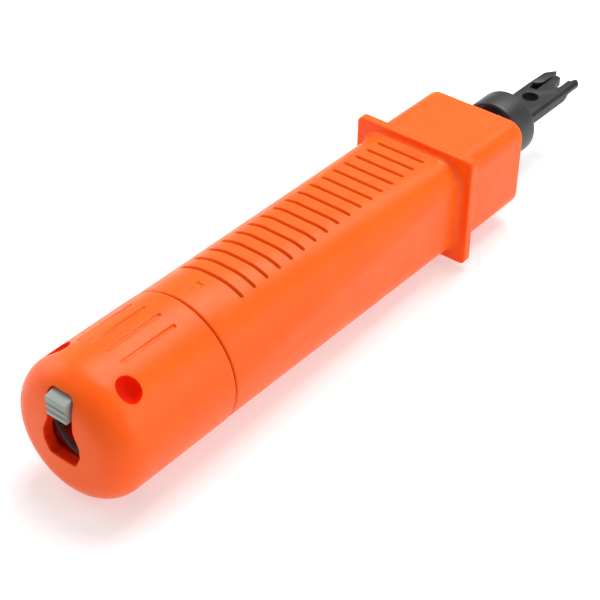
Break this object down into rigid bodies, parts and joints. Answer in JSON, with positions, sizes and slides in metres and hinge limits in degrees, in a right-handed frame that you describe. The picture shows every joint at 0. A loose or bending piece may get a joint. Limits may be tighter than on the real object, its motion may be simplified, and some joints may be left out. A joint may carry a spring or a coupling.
{
  "type": "punch down tool",
  "caption": "Spring-loaded impact tool with a tapering handle, square nose flange, twist-off end cap with impact selector, and an interchangeable forked punch-down blade.",
  "frame": {"origin": "ground point under the middle of the tool's length, on the tool's centre line, at the height of the end cap's underside", "axes": "+X along the tool's axis towards the blade, +Z out of the grooved top of the handle, +Y completes a right-handed frame"},
  "size_m": [0.1792, 0.032, 0.0308],
  "materials": {
    "orange_plastic": "satin moulded plastic",
    "grey_plastic": "satin moulded plastic",
    "black_plastic": "fine matt moulded plastic",
    "bright_steel": "turned and ground",
    "spring_steel": "drawn wire",
    "black_steel": "black oxide",
    "bronze": "sintered",
    "rubber": "matt"
  },
  "bodies": {
    "handle": {"handle_body": "orange_plastic", "trip_ramp": "bright_steel", "nose_bush": "bronze", "stop_washer": "rubber"},
    "cap": {"end_cap": "orange_plastic", "detent_spring": "spring_steel"},
    "selector": {"selector_slider": "grey_plastic"},
    "seat": {"spring_seat": "black_plastic", "hammer_spring": "spring_steel"},
    "striker": {"hammer": "bright_steel", "latch_stop_pin": "spring_steel"},
    "latch": {"trip_latch": "bright_steel", "latch_spring": "spring_steel"},
    "plunger": {"blade_chuck": "bright_steel", "drive_pin": "bright_steel", "return_spring": "spring_steel", "blade_lock_spring": "spring_steel"},
    "blade": {"blade_body": "black_steel", "blade_cutter": "black_steel", "blade_collar": "black_plastic", "bayonet_pin": "bright_steel"}
  },
  "joints": [
    {"name": "cap_twist", "type": "hinge", "parent": "handle", "child": "cap", "pos_m": [0, 0, 0.0154], "axis": [-1, 0, 0], "range_deg": [0, 40]},
    {"name": "seat_shift", "type": "slide", "parent": "cap", "child": "seat", "axis": [1, 0, 0], "range_m": [0, 0.003]},
    {"name": "selector_slide", "type": "slide", "parent": "cap", "child": "selector", "axis": [0, 0, -1], "range_m": [0, 0.009]},
    {"name": "hammer_cock", "type": "slide", "parent": "handle", "child": "striker", "axis": [-1, 0, 0], "range_m": [0, 0.007], "stiffness_N_per_m": 4000, "springref_m": -0.006, "deforming": ["hammer_spring"]},
    {"name": "plunger_push", "type": "slide", "parent": "handle", "child": "plunger", "axis": [-1, 0, 0], "range_m": [0, 0.007]},
    {"name": "latch_trip", "type": "slide", "parent": "striker", "child": "latch", "axis": [0, 1, 0], "range_m": [0, 0.0016], "deforming": ["latch_spring"]},
    {"name": "blade_turn", "type": "hinge", "parent": "plunger", "child": "blade", "pos_m": [0, 0, 0.0154], "axis": [1, 0, 0], "range_deg": [0, 90]}
  ],
  "couplings": [
    {"joint": "selector_slide", "follows": "seat_shift", "ratio": 3},
    {"joint": "plunger_push", "follows": "hammer_cock", "ratio": 1},
    {"joint": "latch_trip", "follows": "hammer_cock", "ratio": 0.22857}
  ]
}
